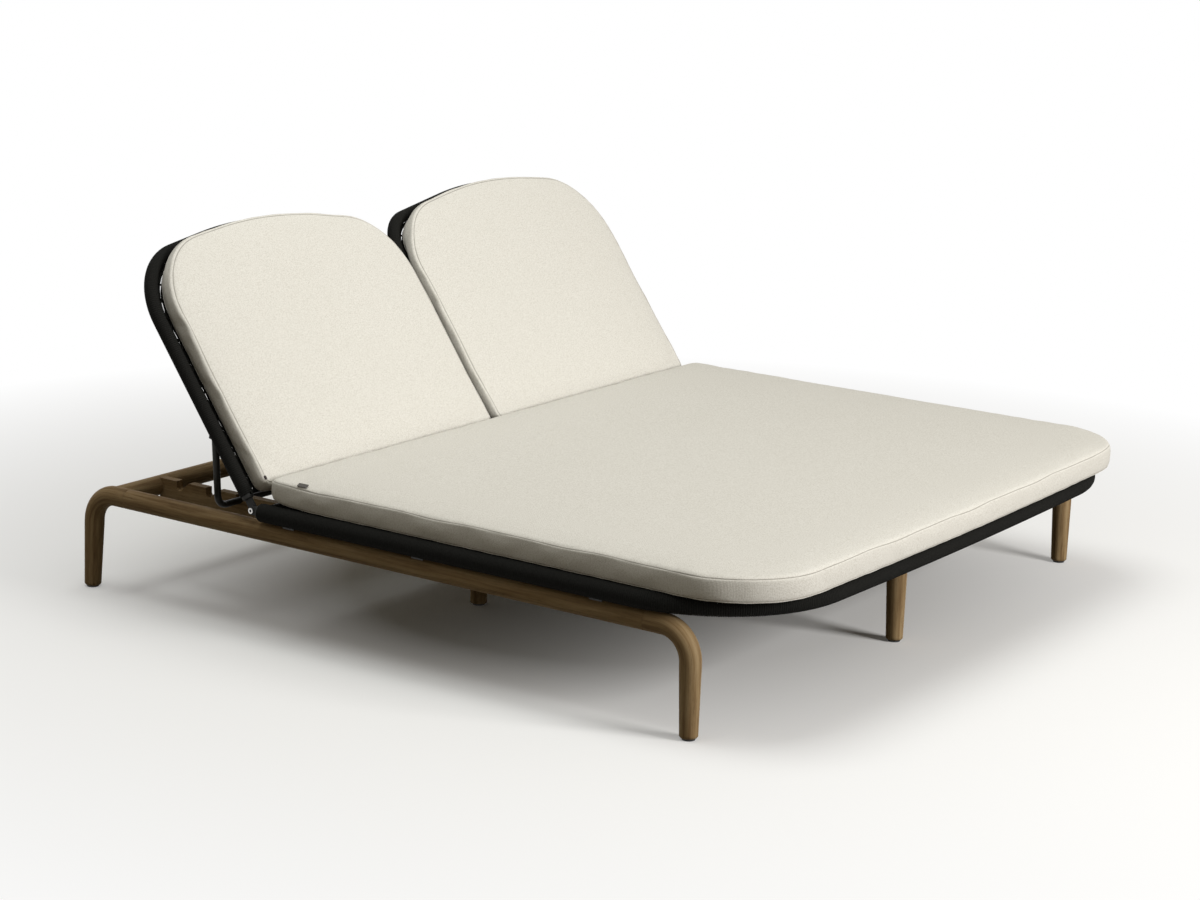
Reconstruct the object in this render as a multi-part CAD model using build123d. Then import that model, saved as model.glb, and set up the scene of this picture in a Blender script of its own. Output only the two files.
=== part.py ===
from build123d import *
import os
from math import asin, atan2, cos, hypot, radians, sin, tan

os.makedirs("parts", exist_ok=True)

# Frame: millimetres, +Z up, foot end at -Y, head end at +Y, left as seen from the foot end is -X.

# Teak base
rail_x = 928.0
rail_z = 249.0
rail_r = 25.0
elbow_bend = 75.0
foot_leg_y = -808.0
foot_seam_in = 118.0
foot_beam_in = 168.0
head_seam_in = 43.5
head_leg_out = 86.5
leg_end_r = 21.0
leg_start_drop = 82.0
leg_overrun_share = 1.02
beam_r = 22.0
mid_beam_y = 152.0
mid_leg_share = 0.45
mid_leg_r = 23.5
glide_r = 15.0
glide_h = 5.0
glide_sink = 4.0
dowel_r = 6.0
dowel_half = 24.0
dowel_slack = 0.15
seam = 0.05
foot_splay = 1.0
head_splay = 3.0

# Ratchet boards
board_in = 84.5
board_t = 22.0
board_h = 50.0
board_tail = 80.5
bar_out = 191.0
bar_rise = 10.0
notch_pitch = 99.0
notch_count = 3
notch_slack = 0.75
notch_depth = 14.0
ramp_run = 31.0

# Seat frame
tube_out = 15.0
tube_lift = 1.0
tube_r = 19.0
tube_wall = 2.5
winding = 3.5
wrap_slack = 0.2
foot_overhang = 164.0
foot_bow = 22.0
foot_bow_share = 0.5
foot_bend = 330.0
tube_end_in = 19.0
wrap_end_in = 3.0
cross_r = 15.0
rear_tube_in = 53.0
net_t = 3.0
soft_gap = 0.3
pad_length = 34.0
pad_width = 26.0
pad_out = 1.0
pad_drop = 22.0
pad_foot_in = 248.0
pad_mid_in = 212.0
pad_rear_in = 106.0
bolt_r = 3.0
bolt_head_r = 5.5
bolt_head_h = 4.0
bolt_slack = 0.2
bolt_in = 7.0
bolt_sunk = 12.0
bolt_reach = 12.5

# Hinges
hinge_y = 436.0
hinge_rise = 2.5
recline = 54.0
lug_t = 6.0
lug_gap = 0.5
seat_lug_r = 10.8
back_lug_r = 10.8
lug_insert = 30.0
pin_r = 4.0
pin_head_r = 7.0
pin_head_h = 4.0
pin_slack = 0.15
socket_r = 3.4
socket_depth = 2.4
side_gap = 0.2

# Backs, in the plane of the back: along X, up the back from the hinge, and out of its front
back_tube_r = 14.0
back_tube_wall = 2.0
back_winding = 3.0
back_start = 30.0
back_wrap_start = 36.0
back_corner = 683.0
back_rise = 41.0
back_inner_x = 24.0
back_outer_bend = 180.0
back_inner_bend = 110.0
back_crown_share = 0.465
back_cross_r = 12.5
back_cross_up = 70.0
net_rise = 3.5
back_net_low = 52.0

# Cushions
seat_side_in = 1.0
seat_foot_out = 24.3
seat_rear_in = 37.0
seat_bend_less = 115.0
seat_rear_bend = 34.0
seat_side_h = 56.0
seat_roll = 8.0
seat_crown_rise = 8.0
cushion_side_in = 22.0
cushion_inner = 2.0
cushion_low = 32.0
cushion_corner_out = 3.0
cushion_inner_drop = 20.0
cushion_crown_out = 20.0
cushion_peak_in = 8.0
cushion_outer_more = 28.0
cushion_inner_more = 122.0
cushion_crown_share = 0.42
cushion_low_bend = 26.0
back_front = 48.0
back_roll = 8.0
back_crown_rise = 7.0
edge_roll_in = 12.0
crown_in = 80.0

# Prop bars
prop_r = 8.75
prop_in = 83.0
prop_bend = 40.0
pivot_up = 235.0
pivot_back = 9.0
eye_r = 11.5
eye_t = 5.0
prop_start = 20.0

# Net gaps
seat_net_columns = 10
seat_net_rows = 7
back_net_columns = 9
back_net_rows = 6
net_margin = 30.0
strand = 9.0
whole_share = 0.999

# Heights and radii that follow
wrap_r = tube_r + winding
back_wrap_r = back_tube_r + back_winding
tube_z = rail_z + rail_r + wrap_r + tube_lift
hinge_z = tube_z + hinge_rise
bar_z = rail_z + bar_rise
board_top = bar_z + notch_depth
notch_r = prop_r + notch_slack
bolt_low = rail_z - rail_r + bolt_sunk
bolt_top = tube_z - tube_r + bolt_reach
net_z = tube_z + wrap_r + soft_gap
seat_low = net_z + net_t + soft_gap
rear_tube_z = tube_z + wrap_r - cross_r

# Places along the lounger that follow
foot_seam_y = foot_leg_y + foot_seam_in
foot_beam_y = foot_leg_y + foot_beam_in
tube_foot_y = foot_leg_y - foot_overhang
spine_foot_y = tube_foot_y - foot_bow / 2
tube_end_y = hinge_y - tube_end_in
wrap_end_y = tube_end_y - wrap_end_in
rear_tube_y = hinge_y - rear_tube_in
bar_y = hinge_y + bar_out
head_beam_y = bar_y + notch_pitch * (notch_count - 1) + board_tail
head_seam_y = head_beam_y - head_seam_in
head_leg_y = head_beam_y + head_leg_out
pad_places = (foot_leg_y + pad_foot_in, mid_beam_y - pad_mid_in, hinge_y - pad_rear_in)
seat_foot_y = tube_foot_y - seat_foot_out
seat_rear_y = hinge_y - seat_rear_in

# Places across the lounger that follow
rails_x = (-rail_x, 0.0, rail_x)
mid_leg_x = rail_x * mid_leg_share
tube_x = rail_x + tube_out
rear_end_x = tube_x - tube_r / 2
seat_side_x = tube_x - seat_side_in
prop_side_x = tube_x - prop_in
prop_inner_x = back_inner_x + prop_in
board_x = prop_side_x - board_in
board_inner_x = prop_inner_x + board_in
cushion_outer = tube_x - cushion_side_in

back_crown = back_corner + back_rise
back_plane = Plane(
    origin=(0, hinge_y, hinge_z),
    x_dir=(1, 0, 0),
    z_dir=(0, -sin(radians(recline)), cos(radians(recline))),
)


def path(points, bends):
    """A wire of straight runs with an arc of its own radius at each inner corner."""
    points = [Vector(*p) for p in points]
    edges, start = [], points[0]
    for before, corner, after, bend in zip(points, points[1:], points[2:], bends):
        u, v = (before - corner).normalized(), (after - corner).normalized()
        half = radians(u.get_angle(v)) / 2
        a, b = corner + u * (bend / tan(half)), corner + v * (bend / tan(half))
        middle = corner + (u + v).normalized() * (bend / sin(half) - bend)
        edges.append(Edge.make_line(start, a))
        edges.append(Edge.make_three_point_arc(a, middle, b))
        start = b
    edges.append(Edge.make_line(start, points[-1]))
    return Wire(edges)


def bow_bend(half, rise, share):
    """The radius at a shallow corner whose arc takes a share of the run on each side of it."""
    return share * hypot(half, rise) * half / rise


def inset(points, bends, by):
    """The corners and radii of a convex outline, run anticlockwise, moved inwards."""
    moved = []
    count = len(points)
    for i in range(count):
        (ax, ay), (bx, by_), (cx, cy) = points[i - 1], points[i], points[(i + 1) % count]
        ux, uy = (bx - ax) / hypot(bx - ax, by_ - ay), (by_ - ay) / hypot(bx - ax, by_ - ay)
        vx, vy = (cx - bx) / hypot(cx - bx, cy - by_), (cy - by_) / hypot(cx - bx, cy - by_)
        turn = ux * vy - uy * vx
        moved.append((bx + by * (vx - ux) / turn, by_ + by * (vy - uy) / turn))
    return moved, [max(bend - by, edge_roll_in) for bend in bends]


def outline(points, bends, by=0.0, height=0.0):
    """The closed face of a rounded outline, moved inwards and lifted."""
    corners, radii = inset(points, bends, by)
    first = ((corners[0][0] + corners[-1][0]) / 2, (corners[0][1] + corners[-1][1]) / 2)
    run = [(x, y, height) for x, y in [first] + list(corners) + [first]]
    return Face(path(run, radii))


def pipe(wire, radius, bore=0.0):
    """A round bar or tube along a wire."""
    plane = Plane(origin=wire @ 0, z_dir=wire % 0)
    bar = sweep(plane * Circle(radius), path=wire)
    return bar - sweep(plane * Circle(bore), path=wire) if bore else bar


def rod(a, b, radius, end_radius=None):
    """A straight round bar from a to b, tapered if it has a second radius."""
    a, b = Vector(*a), Vector(*b)
    plane = Plane(origin=a, z_dir=(b - a).normalized())
    length = (b - a).length
    if end_radius is None:
        return plane * Cylinder(radius, length, align=(Align.CENTER, Align.CENTER, Align.MIN))
    return plane * Cone(radius, end_radius, length, align=(Align.CENTER, Align.CENTER, Align.MIN))


def block(low, high):
    """A box between two corners."""
    size = [h - l for l, h in zip(low, high)]
    return Pos(*low) * Box(*size, align=(Align.MIN, Align.MIN, Align.MIN))


def group(solids):
    """Separate solids kept as one node."""
    return Compound(children=[s for item in solids for s in item.solids()])


def flip(shape):
    """The same piece for the other side."""
    return mirror(shape, about=Plane.YZ)


def dowel_lines():
    """Where the teak is dowelled: a point on each joint and the way the dowel runs."""
    lines = []
    for x in rails_x:
        lines += [((x, y, rail_z), (0, 1, 0)) for y in (foot_seam_y, head_seam_y)]
    for y in (foot_beam_y, mid_beam_y, head_beam_y):
        for x in (rail_r - rail_x, -rail_r, rail_r, rail_x - rail_r):
            lines.append(((x, y, rail_z), (1, 0, 0)))
    for x in (-mid_leg_x, mid_leg_x):
        lines.append(((x, mid_beam_y, rail_z - beam_r), (0, 0, 1)))
    for x in (-board_x, -board_inner_x, board_inner_x, board_x):
        lines.append(((x, mid_beam_y + beam_r, rail_z), (0, 1, 0)))
        lines.append(((x, head_beam_y - rail_r, rail_z), (0, 1, 0)))
    return lines


def dowels(slack=0.0):
    """The dowels, or the bores for them."""
    half = dowel_half + slack
    return [
        rod(Vector(*p) - Vector(*d) * half, Vector(*p) + Vector(*d) * half, dowel_r + slack)
        for p, d in dowel_lines()
    ]


def bolt_axes():
    """Where a bolt goes up through a rail into the seat frame."""
    sides = [(side * (rail_x + bolt_in), y) for side in (-1, 1) for y in pad_places]
    return sides + [(0.0, y) for y in pad_places]


def bolt_bores():
    """The clearance bores of the frame bolts, with their counterbores."""
    bores = []
    for x, y in bolt_axes():
        bores.append(rod((x, y, rail_z - rail_r), (x, y, bolt_top + bolt_slack), bolt_r + bolt_slack))
        bores.append(rod((x, y, rail_z - 2 * rail_r), (x, y, bolt_low), bolt_head_r + bolt_slack))
    return bores


dowel_bores = dowels(dowel_slack)
frame_bores = bolt_bores()


def bored(piece, bores):
    """The piece with those of the bores cut that reach it."""
    box = piece.bounding_box()
    for bore in bores:
        other = bore.bounding_box()
        apart = any(
            getattr(box.max, k) < getattr(other.min, k) or getattr(other.max, k) < getattr(box.min, k)
            for k in "XYZ"
        )
        if not apart:
            piece = piece - bore
    return piece


def leg_path(x, y, splay, inward, seam_y):
    """The centre line of a corner piece: a stub of rail, the elbow and the leg's first run."""
    lean = tan(radians(splay))
    top = y + inward * rail_z * lean
    drop = rail_z - leg_start_drop
    return path([(x, seam_y, rail_z), (x, top, rail_z), (x, y + inward * drop * lean, drop)], [elbow_bend])


def corner_leg(x, y, splay, inward, seam_y):
    """A leg with its elbow and the end of the rail in one piece, tapered to the floor."""
    line = leg_path(x, y, splay, inward, seam_y)
    start, end = line @ 1, Vector(x, y + inward * glide_h * tan(radians(splay)), glide_h)
    leg = pipe(line, rail_r) + rod(start, start + (end - start) * leg_overrun_share, rail_r, leg_end_r)
    leg = leg - block((x - rail_x, y - rail_x, -rail_z), (x + rail_x, y + rail_x, glide_h))
    return bored(leg - glide_peg(x, y, seam), dowel_bores)


def foot_leg(x):
    """A leg at the foot end."""
    return corner_leg(x, foot_leg_y, foot_splay, 1, foot_seam_y - seam)


def head_leg(x):
    """A leg at the head end."""
    return corner_leg(x, head_leg_y, head_splay, -1, head_seam_y + seam)


def rail(x):
    """The straight run of a rail between its two elbow pieces."""
    bar = rod((x, foot_seam_y + seam, rail_z), (x, head_seam_y - seam, rail_z), rail_r)
    return bored(bar, dowel_bores + frame_bores)


def beam(side, y, radius):
    """A cross beam from the centre rail to a side rail, coped to both."""
    bar = rod((0, y, rail_z), (side * rail_x, y, rail_z), radius)
    for x in (0, side * rail_x):
        if y == head_beam_y:
            bar = bar - pipe(leg_path(x, head_leg_y, head_splay, -1, head_seam_y), rail_r + seam)
        else:
            bar = bar - rod((x, y - rail_r * 2, rail_z), (x, y + rail_r * 2, rail_z), rail_r + seam)
    return bored(bar, dowel_bores)


def mid_leg(side):
    """A straight turned leg under the mid beam."""
    x = side * mid_leg_x
    leg = rod((x, mid_beam_y, glide_h), (x, mid_beam_y, rail_z), leg_end_r, mid_leg_r)
    leg = leg - rod((0, mid_beam_y, rail_z), (side * rail_x, mid_beam_y, rail_z), beam_r + seam)
    return bored(leg - glide_peg(x, mid_beam_y, seam), dowel_bores)


def glide_peg(x, y, slack=0.0):
    """The peg of a glide, inside the end of its leg."""
    return rod((x, y, glide_h), (x, y, glide_h + glide_sink * 3), dowel_r + slack)


def glides():
    """The glide under each leg."""
    places = [(x, y) for x in rails_x for y in (foot_leg_y, head_leg_y)]
    places += [(-mid_leg_x, mid_beam_y), (mid_leg_x, mid_beam_y)]
    return group([rod((x, y, 0), (x, y, glide_h - seam), glide_r) + rod(
        (x, y, glide_sink), (x, y, glide_h + glide_sink * 2), dowel_r - seam) for x, y in places])


def notch(y):
    """What is cut out of a ratchet board for one place of the bar: round, steep to the head end, with
    a ramp to the foot end that leaves the round of the notch as a tangent."""
    top = board_top + board_h
    fall = atan2(notch_depth, ramp_run) + asin(notch_r / hypot(ramp_run, notch_depth))
    touch = (y - notch_r * sin(fall), bar_z - notch_r * cos(fall))
    ramp = Polyline((y - ramp_run, board_top), touch, (y, bar_z), (y, top), (y - ramp_run, top), close=True)
    wedge = extrude(Plane.YZ * make_face(ramp), rail_x)
    hollow = rod((0, y, bar_z), (rail_x, y, bar_z), notch_r)
    return wedge + hollow + block((0, y, bar_z), (rail_x, y + notch_r, top))


def ratchet_board(x):
    """A board with the notches for the prop bar, coped to the beams at its ends."""
    board = block((x - board_t / 2, mid_beam_y, board_top - board_h), (x + board_t / 2, head_beam_y, board_top))
    board = board - rod((0, mid_beam_y, rail_z), (rail_x, mid_beam_y, rail_z), beam_r + seam)
    board = board - rod((0, head_beam_y, rail_z), (rail_x, head_beam_y, rail_z), rail_r + seam)
    for i in range(notch_count):
        board = board - notch(bar_y + i * notch_pitch)
    board = board - block((0, 0, 0), (rail_x, mid_beam_y + beam_r / 2, rail_z * 2))
    board = board - block((0, head_beam_y - rail_r / 2, 0), (rail_x, head_leg_y, rail_z * 2))
    return bored(board, dowel_bores)


def foot_bow_bend(half):
    """The radius of the bow across the foot end."""
    return bow_bend(half, foot_bow, foot_bow_share)


def seat_line(end_y):
    """The centre line of the seat tube, from one head end round the foot to the other."""
    return path(
        [
            (-tube_x, end_y, tube_z),
            (-tube_x, tube_foot_y, tube_z),
            (0, tube_foot_y - foot_bow, tube_z),
            (tube_x, tube_foot_y, tube_z),
            (tube_x, end_y, tube_z),
        ],
        [foot_bend, foot_bow_bend(tube_x), foot_bend],
    )


def seat_frame():
    """The bent tube of the seat, open at its two head ends."""
    return bored(pipe(seat_line(tube_end_y), tube_r, tube_r - tube_wall), frame_bores)


def seat_wrap():
    """The rope wound on the seat tube, as a sleeve."""
    sleeve = pipe(seat_line(wrap_end_y), wrap_r, tube_r + wrap_slack)
    across = rod((-rear_end_x - wrap_slack, rear_tube_y, rear_tube_z),
                 (rear_end_x + wrap_slack, rear_tube_y, rear_tube_z), cross_r + wrap_slack)
    return bored(sleeve - across - spine_bar(wrap_slack), frame_bores)


def spine_bar(slack=0.0):
    """The round bar of the spine before it is fitted, from the foot tube to the rear tube."""
    return rod((0, spine_foot_y - slack, rear_tube_z), (0, rear_tube_y, rear_tube_z), cross_r + slack)


def rear_tube():
    """The cross tube of the seat frame under the rear edge of the cushion."""
    ends = (-rear_end_x, rear_tube_y, rear_tube_z), (rear_end_x, rear_tube_y, rear_tube_z)
    tube = rod(*ends, cross_r) - rod(*ends, cross_r - tube_wall)
    for x in (-tube_x, tube_x):
        tube = tube - rod((x, 0, tube_z), (x, tube_end_y, tube_z), tube_r + seam)
    return max(tube.solids(), key=lambda s: s.volume)


def spine():
    """The tube down the middle of the seat frame, over the centre rail."""
    tube = spine_bar() - spine_bar(-tube_wall)
    tube = tube - pipe(seat_line(tube_end_y), tube_r + seam)
    tube = tube - rod(
        (-rail_x, rear_tube_y, rear_tube_z), (rail_x, rear_tube_y, rear_tube_z), cross_r + seam)
    return max(bored(tube, frame_bores).solids(), key=lambda s: s.volume)


def pads():
    """The blocks between the rails and the seat frame, hollowed to fit both."""
    blocks = []
    for side in (-1, 1):
        x = side * (rail_x + pad_out)
        for y in pad_places:
            pad = block((x - pad_width / 2, y - pad_length / 2, tube_z - wrap_r - pad_drop / 2),
                        (x + pad_width / 2, y + pad_length / 2, tube_z - wrap_r + pad_drop / 3))
            pad = pad - rod((side * rail_x, -rail_x, rail_z), (side * rail_x, rail_x, rail_z), rail_r + seam)
            pad = pad - rod((side * tube_x, -rail_x, tube_z), (side * tube_x, rail_x, tube_z), wrap_r + seam)
            blocks.append(pad)
    for y in pad_places:
        pad = block((-pad_width / 2, y - pad_length / 2, rail_z + rail_r / 2),
                    (pad_width / 2, y + pad_length / 2, rear_tube_z - cross_r / 2))
        pad = pad - rod((0, -rail_x, rail_z), (0, rail_x, rail_z), rail_r + seam)
        blocks.append(pad - rod((0, -rail_x, rear_tube_z), (0, rail_x, rear_tube_z), cross_r + seam))
    return group([bored(pad, frame_bores) for pad in blocks])


def frame_bolts():
    """The bolts that hold the seat frame down on the rails."""
    bolts = []
    for x, y in bolt_axes():
        head = rod((x, y, bolt_low - bolt_head_h - seam), (x, y, bolt_low - seam), bolt_head_r)
        bolts.append(head + rod((x, y, bolt_low - bolt_head_h), (x, y, bolt_top), bolt_r))
    return group(bolts)


def diamonds(low, high, columns, rows):
    """The gaps of a criss-cross net: rhombs in rows, every other row set between its neighbours."""
    wide, tall = (high[0] - low[0]) / columns, (high[1] - low[1]) / rows
    across, up = wide / 2 - strand, tall / 2 - strand
    gaps = []
    for j in range(2 * rows - 1):
        count = columns if j % 2 == 0 else columns - 1
        for i in range(count):
            x = low[0] + wide * (i + (1 + j % 2) / 2)
            y = low[1] + tall * (j + 1) / 2
            gaps.append(Pos(x, y) * make_face(
                Polyline((-across, 0), (0, -up), (across, 0), (0, up), close=True)))
    return gaps


def net(face, room, low, high, columns, rows):
    """A flat criss-cross net: the face with the rhombs that lie in the room cut out, made thick."""
    gaps = []
    for gap in diamonds(low, high, columns, rows):
        kept = (gap & room).faces()
        if kept and sum(f.area for f in kept) > gap.area * whole_share:
            gaps.append(gap)
    return extrude(face - gaps, net_t)


def seat_net():
    """The rope net of the seat, on top of the frame."""
    corners = [(-tube_x, rear_tube_y), (-tube_x, tube_foot_y), (0, tube_foot_y - foot_bow),
               (tube_x, tube_foot_y), (tube_x, rear_tube_y)]
    face = outline(corners, [cross_r, foot_bend, foot_bow_bend(tube_x), foot_bend, cross_r], seam)
    room = outline(corners, [cross_r, foot_bend, foot_bow_bend(tube_x), foot_bend, cross_r], strand)
    low = (-tube_x + net_margin, tube_foot_y + net_margin)
    high = (tube_x - net_margin, rear_tube_y - net_margin)
    return Pos(0, 0, net_z) * net(face, room, low, high, seat_net_columns, seat_net_rows)


def pillow(points, bends, low, side_h, roll, rise):
    """A cushion on its outline: upright sides, a rolled edge and a crowned top."""
    inner_share, outer_share = 0.25, 0.7
    rings = [
        (roll / 2, low),
        (0.0, low + roll / 2),
        (0.0, low + side_h - roll),
        (roll * inner_share, low + side_h - roll * inner_share),
        (edge_roll_in, low + side_h),
        (crown_in / 2, low + side_h + rise * outer_share),
        (crown_in, low + side_h + rise),
    ]
    return loft([outline(points, bends, by, z) for by, z in rings], ruled=True)


def seat_cushion():
    """The one cushion of the seat."""
    corners = [(-seat_side_x, seat_rear_y), (-seat_side_x, seat_foot_y), (0, seat_foot_y - foot_bow),
               (seat_side_x, seat_foot_y), (seat_side_x, seat_rear_y)]
    bend = foot_bend - seat_bend_less
    bends = [seat_rear_bend, bend, foot_bow_bend(seat_side_x), bend, seat_rear_bend]
    return pillow(corners, bends, seat_low, seat_side_h, seat_roll, seat_crown_rise)


def back_crown_bend():
    """The radius of the crown of a back tube."""
    return bow_bend((tube_x - back_inner_x) / 2, back_rise, back_crown_share)


def back_line(start):
    """The centre line of a back tube, up one side, over the top and down the other."""
    middle = (tube_x + back_inner_x) / 2
    flat = path(
        [(-tube_x, start, 0), (-tube_x, back_corner, 0), (-middle, back_crown, 0),
         (-back_inner_x, back_corner, 0), (-back_inner_x, start, 0)],
        [back_outer_bend, back_crown_bend(), back_inner_bend],
    )
    return flat


def pivot_bore():
    """The bore for the pins of the prop bar, in the plane of the back, between its side tubes."""
    return rod((-tube_x - pin_slack, pivot_up, -pivot_back), (pin_slack - back_inner_x, pivot_up, -pivot_back),
               pin_r + pin_slack)


def back_frame():
    """The bent tube of the left back."""
    return pipe(back_line(back_start), back_tube_r, back_tube_r - back_tube_wall) - pivot_bore()


def back_wrap():
    """The rope wound on the back tube, as a sleeve with an opening at each prop pin."""
    sleeve = pipe(back_line(back_wrap_start), back_wrap_r, back_tube_r + wrap_slack)
    tube = rod((-tube_x, back_cross_up, back_cross_z()), (-back_inner_x, back_cross_up, back_cross_z()),
               back_cross_r + wrap_slack)
    return sleeve - pivot_bore() - tube


def back_cross_z():
    """How far the lower cross tube of a back lies from its plane, so that the net passes over it."""
    return net_rise - back_cross_r - soft_gap


def back_cross():
    """The lower cross tube of the left back, coped to its side tubes."""
    z = back_cross_z()
    ends = (-tube_x, back_cross_up, z), (-back_inner_x, back_cross_up, z)
    tube = rod(*ends, back_cross_r) - rod(*ends, back_cross_r - back_tube_wall)
    for x in (-tube_x, -back_inner_x):
        tube = tube - rod((x, 0, 0), (x, back_corner, 0), back_tube_r + seam)
    return max(tube.solids(), key=lambda s: s.volume)


def back_room(by, low):
    """The face inside the back tube, moved inwards, above a lower edge."""
    middle = (tube_x + back_inner_x) / 2
    corners = [(-back_inner_x, low), (-back_inner_x, back_corner), (-middle, back_crown),
               (-tube_x, back_corner), (-tube_x, low)]
    bends = [by + back_wrap_r, back_inner_bend, back_crown_bend(), back_outer_bend, by + back_wrap_r]
    return outline(corners, bends, by)


def back_net():
    """The rope net of the left back, inside its tube."""
    face = back_room(back_wrap_r, back_net_low - back_wrap_r)
    low = (-tube_x + net_margin, back_net_low + net_margin)
    high = (-back_inner_x - net_margin, back_corner - net_margin)
    room = back_room(back_wrap_r + strand, back_net_low - back_wrap_r)
    return Pos(0, 0, net_rise) * net(face, room, low, high, back_net_columns, back_net_rows)


def back_lugs():
    """The flat hinge lugs in the lower ends of the left back tube."""
    lugs = []
    for x in (-tube_x, -back_inner_x):
        tongue = block((x - lug_t / 2, back_start, -back_lug_r),
                       (x + lug_t / 2, back_start + lug_insert, back_lug_r))
        tongue = tongue & rod((x, back_start, 0), (x, back_start + lug_insert, 0),
                              back_tube_r - back_tube_wall - side_gap)
        lug = block((x - lug_t / 2, 0, -back_lug_r), (x + lug_t / 2, back_start, back_lug_r))
        lug = lug + rod((x - lug_t / 2, 0, 0), (x + lug_t / 2, 0, 0), back_lug_r) + tongue
        lugs.append(lug - rod((x - lug_t, 0, 0), (x + lug_t, 0, 0), pin_r + pin_slack))
    return group(lugs)


def back_cushion():
    """The cushion of the left back: full to the front, drawn in at the rear to clear the tube."""
    outer_top, crown = back_corner + cushion_corner_out, back_crown + cushion_crown_out
    inner_top = outer_top - cushion_inner_drop
    peak = (cushion_inner + cushion_outer) / 2 - cushion_peak_in
    corners = [(-cushion_inner, cushion_low), (-cushion_inner, inner_top), (-peak, crown),
               (-cushion_outer, outer_top), (-cushion_outer, cushion_low)]
    half, rise = (cushion_outer - cushion_inner) / 2, crown - (inner_top + outer_top) / 2
    bends = [cushion_low_bend, back_inner_bend + cushion_inner_more,
             bow_bend(half, rise, cushion_crown_share),
             back_outer_bend + cushion_outer_more, cushion_low_bend]
    over = back_wrap_r + soft_gap
    front = pillow(corners, bends, over, back_front - over, back_roll, back_crown_rise)
    rear_low = net_rise + net_t + soft_gap
    rear = outline(corners, bends, back_roll / 2) & back_room(over, cushion_low)
    return front + Pos(0, 0, rear_low) * extrude(rear, over + back_roll / 2 - rear_low)


def prop_pins():
    """The pins of the left prop bar, through the side tubes, each with a head inside the eye."""
    pins = []
    for x, way in ((-tube_x, 1), (-back_inner_x, -1)):
        eye = x + way * (back_wrap_r + side_gap)
        far = eye + way * (eye_t + side_gap * 2)
        end = (far + way * pin_head_h, pivot_up, -pivot_back)
        pin = rod((x, pivot_up, -pivot_back), end, pin_r)
        pins.append(pin + rod((far, pivot_up, -pivot_back), end, pin_head_r))
    return group(pins)


def pivot_line():
    """Y and Z of the line on which the prop bars turn."""
    lean = radians(recline)
    return (hinge_y + pivot_up * cos(lean) + pivot_back * sin(lean),
            hinge_z + pivot_up * sin(lean) - pivot_back * cos(lean))


def prop_plane():
    """The plane of the left prop bar: origin on its pivot line, +Y down the bar's legs."""
    y, z = pivot_line()
    down = Vector(0, bar_y - y, bar_z - z).normalized()
    return Plane(origin=(0, y, z), x_dir=(1, 0, 0), z_dir=Vector(1, 0, 0).cross(down))


def prop_length():
    """From the pivot line to the middle of the cross bar."""
    y, z = pivot_line()
    return hypot(bar_y - y, bar_z - z)


def prop_bar():
    """The bent bar that props the left back up, with a flat eye at each end."""
    length = prop_length()
    eye_in = back_wrap_r + side_gap * 2
    outer, inner = -tube_x + eye_in + eye_t / 2, -back_inner_x - eye_in - eye_t / 2
    share = prop_start / length
    a = outer + (-prop_side_x - outer) * share
    b = inner + (-prop_inner_x - inner) * share
    line = path([(a, prop_start, 0), (-prop_side_x, length, 0), (-prop_inner_x, length, 0),
                 (b, prop_start, 0)], [prop_bend, prop_bend])
    bar = pipe(line, prop_r)
    for x in (outer, inner):
        eye = rod((x - eye_t / 2, 0, 0), (x + eye_t / 2, 0, 0), eye_r)
        eye = eye + block((x - eye_t / 2, 0, -prop_r), (x + eye_t / 2, prop_start * 2, prop_r))
        bar = bar + eye
    for x in (outer, inner):
        bar = bar - rod((x - eye_t, 0, 0), (x + eye_t, 0, 0), pin_r + pin_slack)
    return prop_plane() * bar


def outer_lug():
    """The flat lug in the head end of the left seat tube."""
    face = -tube_x - lug_t / 2 - lug_gap
    tongue = block((face - lug_t, tube_end_y - lug_insert, hinge_z - seat_lug_r),
                   (face, tube_end_y, hinge_z + seat_lug_r))
    tongue = tongue & rod((-tube_x, tube_end_y - lug_insert, tube_z), (-tube_x, tube_end_y, tube_z),
                          tube_r - tube_wall - side_gap)
    lug = block((face - lug_t, tube_end_y, hinge_z - seat_lug_r), (face, hinge_y, hinge_z + seat_lug_r))
    lug = lug + rod((face - lug_t, hinge_y, hinge_z), (face, hinge_y, hinge_z), seat_lug_r) + tongue
    return lug - rod((face - 2 * lug_t, hinge_y, hinge_z), (0, hinge_y, hinge_z), pin_r + pin_slack)


def inner_lug():
    """The plate from the rear tube to the inner hinge of the left back."""
    face = -back_inner_x - lug_t / 2 - lug_gap
    plate = block((face - lug_t, rear_tube_y, hinge_z - seat_lug_r), (face, hinge_y, hinge_z + seat_lug_r))
    plate = plate + rod((face - lug_t, hinge_y, hinge_z), (face, hinge_y, hinge_z), seat_lug_r)
    plate = plate - rod(
        (-rail_x, rear_tube_y, rear_tube_z), (0, rear_tube_y, rear_tube_z), cross_r + seam)
    plate = plate - rod((face - 2 * lug_t, hinge_y, hinge_z), (0, hinge_y, hinge_z), pin_r + pin_slack)
    return max(plate.solids(), key=lambda s: s.volume)


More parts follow.
